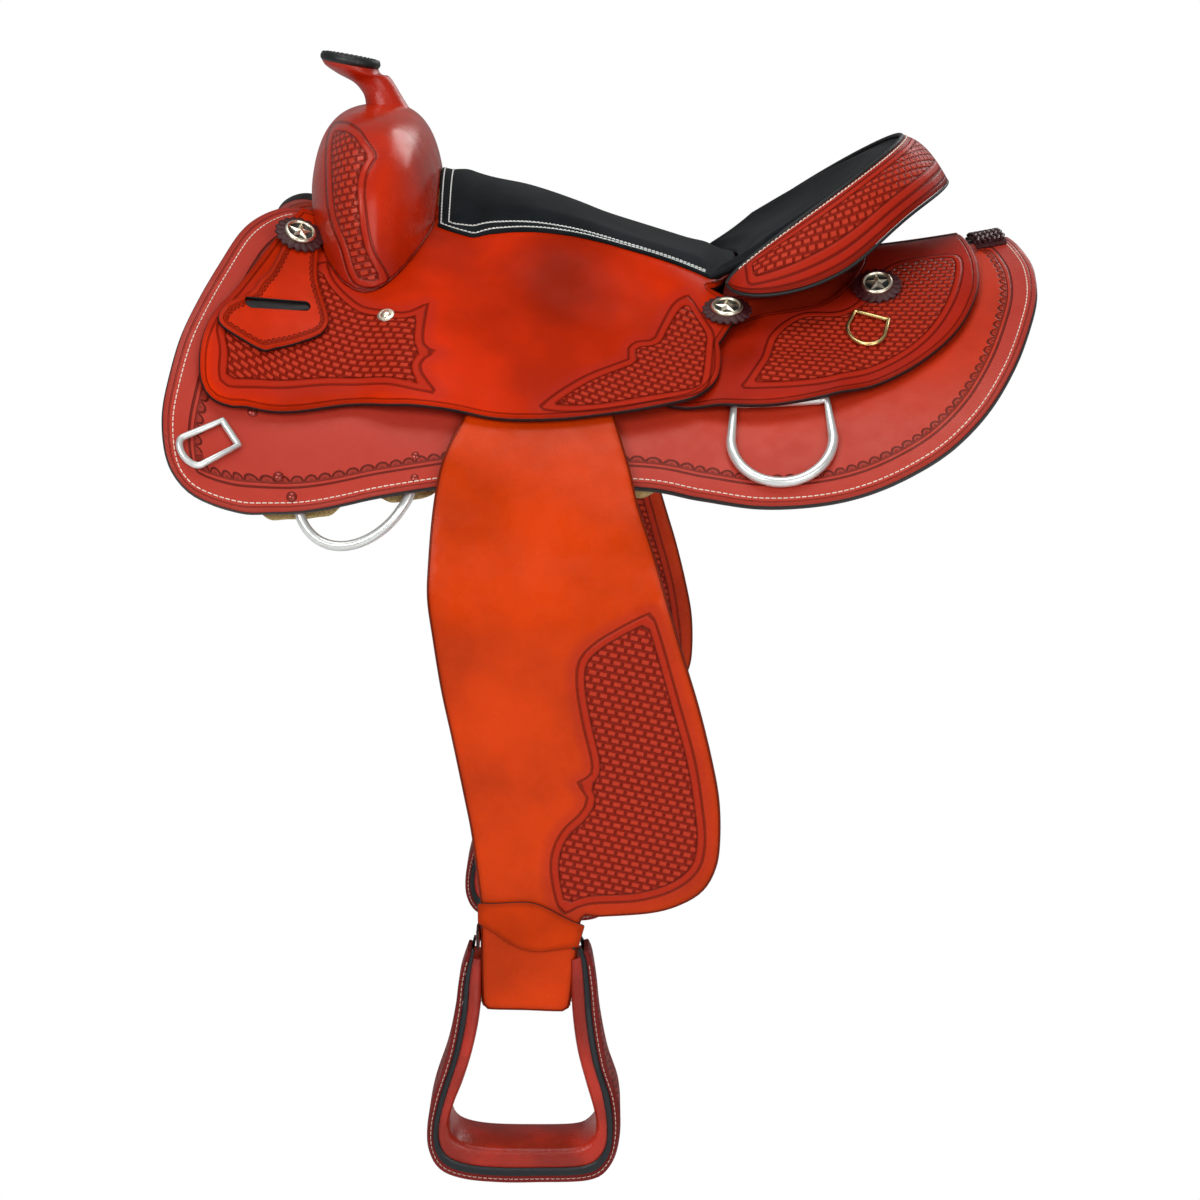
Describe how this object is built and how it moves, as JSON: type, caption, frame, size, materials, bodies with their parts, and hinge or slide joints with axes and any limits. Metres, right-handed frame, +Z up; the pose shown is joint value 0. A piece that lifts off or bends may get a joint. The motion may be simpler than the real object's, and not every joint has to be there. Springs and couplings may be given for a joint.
{
  "type": "draft horse western saddle",
  "caption": "Western draft horse saddle with tooled leather, suede seat, swinging fenders, bell stirrups, rigging rings, star conchos and fleece-lined skirts",
  "frame": {"origin": "On the centre plane, on the horse's back at the lowest point of the spine line under the seat", "axes": "+Z up, the horse faces -X, the near (left) side is -Y"},
  "size_m": [0.7098, 0.7002, 0.8884],
  "materials": {
    "black_leather": "black leather, semi-matt",
    "black_suede": "black suede",
    "brass": "polished brass",
    "dark_leather": "dark red-brown leather",
    "fender_leather": "burnt orange-red oiled leather",
    "fleece": "yellow-cream woolskin fleece",
    "saddle_leather": "burnt orange-red full-grain leather, waxed",
    "silver": "bright silver-cream cast concho",
    "skirt_leather": "rose-red oiled leather",
    "steel": "polished steel",
    "stirrup_leather": "red-brown leather over a wooden core",
    "wood": "bare wood, sealed"
  },
  "bodies": {
    "saddle": {"skirt_near": "skirt_leather", "fleece_near": "fleece", "skirt_far": "skirt_leather", "fleece_far": "fleece", "seat_jockey": "saddle_leather", "rear_jockey_near": "saddle_leather", "rear_jockey_far": "saddle_leather", "tree_bar_near": "wood", "tree_bar_far": "wood", "tree_fork": "wood", "swell_cover": "saddle_leather", "horn": "saddle_leather", "horn_cap": "black_leather", "seat_pad": "black_suede", "cantle_pad": "black_suede", "tree_cantle": "wood", "cantle_roll": "saddle_leather", "latigo_keeper": "saddle_leather", "rosette_front_near": "dark_leather", "concho_front_near": "silver", "rosette_front_far": "dark_leather", "concho_front_far": "silver", "rosette_seat_near": "dark_leather", "concho_seat_near": "silver", "rosette_seat_far": "dark_leather", "concho_seat_far": "silver", "rosette_rear_near": "dark_leather", "concho_rear_near": "silver", "rosette_rear_far": "dark_leather", "concho_rear_far": "silver", "front_rigging_ring_near": "steel", "rear_rigging_strap_near": "dark_leather", "front_rigging_ring_far": "steel", "rear_rigging_strap_far": "dark_leather", "rear_lacing_plate": "dark_leather"},
    "fender_near_body": {"fender_near": "fender_leather", "stirrup_strap_near": "fender_leather", "hobble_strap_near": "saddle_leather", "stirrup_bolt_near": "steel"},
    "stirrup_near_body": {"stirrup_near": "stirrup_leather"},
    "rear_rigging_ring_near_body": {"rear_rigging_ring_near": "steel"},
    "breast_collar_ring_near_body": {"breast_collar_ring_near": "steel"},
    "string_ring_near_body": {"string_ring_near": "brass"},
    "fender_far_body": {"fender_far": "fender_leather", "stirrup_strap_far": "fender_leather", "hobble_strap_far": "saddle_leather", "stirrup_bolt_far": "steel"},
    "stirrup_far_body": {"stirrup_far": "stirrup_leather"},
    "rear_rigging_ring_far_body": {"rear_rigging_ring_far": "steel"},
    "breast_collar_ring_far_body": {"breast_collar_ring_far": "steel"},
    "string_ring_far_body": {"string_ring_far": "brass"}
  },
  "joints": [
    {"name": "fender_swing_near", "type": "hinge", "parent": "saddle", "child": "fender_near_body", "pos_m": [-0.04623, -0.25339, -0.07713], "axis": [0.1967, -0.6843, 0.7021], "range_deg": [-15, 15]},
    {"name": "stirrup_swing_near", "type": "hinge", "parent": "fender_near_body", "child": "stirrup_near_body", "pos_m": [-0.059, -0.32012, -0.5345], "axis": [1, 0, 0], "range_deg": [-60, 60]},
    {"name": "rear_rigging_ring_lift_near", "type": "hinge", "parent": "saddle", "child": "rear_rigging_ring_near_body", "pos_m": [0.14461, -0.22555, -0.06663], "axis": [-0.9989, -0.0003, -0.0463], "range_deg": [0, 12]},
    {"name": "breast_collar_ring_lift_near", "type": "hinge", "parent": "saddle", "child": "breast_collar_ring_near_body", "pos_m": [-0.28909, -0.28353, -0.08248], "axis": [-0.5557, 0.3049, 0.7735], "range_deg": [0, 85]},
    {"name": "string_ring_lift_near", "type": "hinge", "parent": "saddle", "child": "string_ring_near_body", "pos_m": [0.22357, -0.15314, -0.00535], "axis": [-0.8418, 0.5096, 0.1777], "range_deg": [0, 85]},
    {"name": "fender_swing_far", "type": "hinge", "parent": "saddle", "child": "fender_far_body", "pos_m": [-0.04623, 0.25339, -0.07713], "axis": [0.1967, 0.6843, 0.7021], "range_deg": [-15, 15]},
    {"name": "stirrup_swing_far", "type": "hinge", "parent": "fender_far_body", "child": "stirrup_far_body", "pos_m": [-0.059, 0.32012, -0.5345], "axis": [1, 0, 0], "range_deg": [-60, 60]},
    {"name": "rear_rigging_ring_lift_far", "type": "hinge", "parent": "saddle", "child": "rear_rigging_ring_far_body", "pos_m": [0.14461, 0.22555, -0.06663], "axis": [0.9989, -0.0003, 0.0463], "range_deg": [0, 12]},
    {"name": "breast_collar_ring_lift_far", "type": "hinge", "parent": "saddle", "child": "breast_collar_ring_far_body", "pos_m": [-0.28909, 0.28353, -0.08248], "axis": [0.5557, 0.3049, -0.7735], "range_deg": [0, 85]},
    {"name": "string_ring_lift_far", "type": "hinge", "parent": "saddle", "child": "string_ring_far_body", "pos_m": [0.22357, 0.15314, -0.00535], "axis": [0.8418, 0.5096, -0.1777], "range_deg": [0, 85]}
  ]
}
